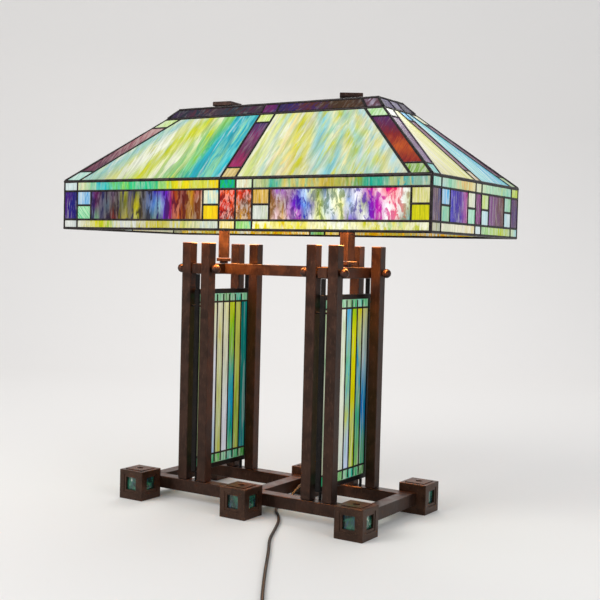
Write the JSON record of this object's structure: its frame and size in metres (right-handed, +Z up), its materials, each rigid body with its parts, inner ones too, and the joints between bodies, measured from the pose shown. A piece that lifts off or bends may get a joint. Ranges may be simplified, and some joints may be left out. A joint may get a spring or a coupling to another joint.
{
  "type": "stained glass table lamp",
  "caption": "Leaded art glass table lamp: a long hipped shade on two stems over a bronze frame of square posts with glass panels and box feet.",
  "frame": {"origin": "on the table top, under the middle of the base", "axes": "+Z up, +X along the lamp's length, -Y the front"},
  "size_m": [0.6509, 0.6227, 0.6075],
  "materials": {
    "bronze_patina": "dark brown bronze patina, satin",
    "shade_glass": "opalescent streaky glass in dark lead came",
    "panel_glass": "opalescent streaky glass in dark lead came",
    "foot_glass": "dark green opalescent glass",
    "socket_brass": "satin brass",
    "bulb_glass": "frosted",
    "knob_black": "moulded",
    "cord_black": "smooth jacket",
    "plug_black": "moulded"
  },
  "bodies": {
    "stand": {"back_left_ball_nut": "bronze_patina", "back_left_clamp_bolt": "bronze_patina", "back_left_foot": "bronze_patina", "back_left_foot_glass": "foot_glass", "back_left_inner_post": "bronze_patina", "back_left_outer_post": "bronze_patina", "back_middle_foot": "bronze_patina", "back_middle_foot_glass": "foot_glass", "back_rail": "bronze_patina", "back_right_ball_nut": "bronze_patina", "back_right_clamp_bolt": "bronze_patina", "back_right_foot": "bronze_patina", "back_right_foot_glass": "foot_glass", "back_right_inner_post": "bronze_patina", "back_right_outer_post": "bronze_patina", "cord": "cord_black", "cord_coil": "cord_black", "cord_tie": "plug_black", "front_left_ball_nut": "bronze_patina", "front_left_clamp_bolt": "bronze_patina", "front_left_foot": "bronze_patina", "front_left_foot_glass": "foot_glass", "front_left_inner_post": "bronze_patina", "front_left_outer_post": "bronze_patina", "front_middle_foot": "bronze_patina", "front_middle_foot_glass": "foot_glass", "front_rail": "bronze_patina", "front_right_ball_nut": "bronze_patina", "front_right_clamp_bolt": "bronze_patina", "front_right_foot": "bronze_patina", "front_right_foot_glass": "foot_glass", "front_right_inner_post": "bronze_patina", "front_right_outer_post": "bronze_patina", "left_crossbar": "bronze_patina", "left_panel_frame": "bronze_patina", "left_panel_glass": "panel_glass", "left_rail": "bronze_patina", "left_socket_cluster": "socket_brass", "left_stem": "bronze_patina", "left_stem_flange": "bronze_patina", "mains_plug": "plug_black", "middle_rail": "bronze_patina", "right_crossbar": "bronze_patina", "right_panel_frame": "bronze_patina", "right_panel_glass": "panel_glass", "right_rail": "bronze_patina", "right_socket_cluster": "socket_brass", "right_stem": "bronze_patina", "right_stem_flange": "bronze_patina", "tie_bar": "bronze_patina"},
    "shade": {"shade_leaded_glass": "shade_glass", "shade_top_plate": "bronze_patina"},
    "left_cap": {"left_cap": "bronze_patina"},
    "right_cap": {"right_cap": "bronze_patina"},
    "left_switch_knob": {"left_switch_knob": "knob_black"},
    "right_switch_knob": {"right_switch_knob": "knob_black"},
    "left_stem_left_bulb": {"left_stem_left_bulb": "bulb_glass"},
    "left_stem_right_bulb": {"left_stem_right_bulb": "bulb_glass"},
    "right_stem_left_bulb": {"right_stem_left_bulb": "bulb_glass"},
    "right_stem_right_bulb": {"right_stem_right_bulb": "bulb_glass"}
  },
  "joints": [
    {"name": "shade_lift", "type": "slide", "parent": "stand", "child": "shade", "axis": [0, 0, 1], "range_m": [0, 0.22]},
    {"name": "left_cap_turn", "type": "hinge", "parent": "shade", "child": "left_cap", "pos_m": [-0.11, 0, 0.604], "axis": [0, 0, 1], "continuous": true},
    {"name": "left_switch_turn", "type": "hinge", "parent": "stand", "child": "left_switch_knob", "pos_m": [-0.11, -0.025, 0.47], "axis": [0, -1, 0], "range_deg": [0, 90]},
    {"name": "left_stem_left_bulb_turn", "type": "hinge", "parent": "stand", "child": "left_stem_left_bulb", "pos_m": [-0.16, 0, 0.47], "axis": [-1, 0, 0], "continuous": true},
    {"name": "left_stem_right_bulb_turn", "type": "hinge", "parent": "stand", "child": "left_stem_right_bulb", "pos_m": [-0.06, 0, 0.47], "axis": [1, 0, 0], "continuous": true},
    {"name": "right_cap_turn", "type": "hinge", "parent": "shade", "child": "right_cap", "pos_m": [0.11, 0, 0.604], "axis": [0, 0, 1], "continuous": true},
    {"name": "right_switch_turn", "type": "hinge", "parent": "stand", "child": "right_switch_knob", "pos_m": [0.11, -0.025, 0.47], "axis": [0, -1, 0], "range_deg": [0, 90]},
    {"name": "right_stem_left_bulb_turn", "type": "hinge", "parent": "stand", "child": "right_stem_left_bulb", "pos_m": [0.06, 0, 0.47], "axis": [-1, 0, 0], "continuous": true},
    {"name": "right_stem_right_bulb_turn", "type": "hinge", "parent": "stand", "child": "right_stem_right_bulb", "pos_m": [0.16, 0, 0.47], "axis": [1, 0, 0], "continuous": true}
  ]
}
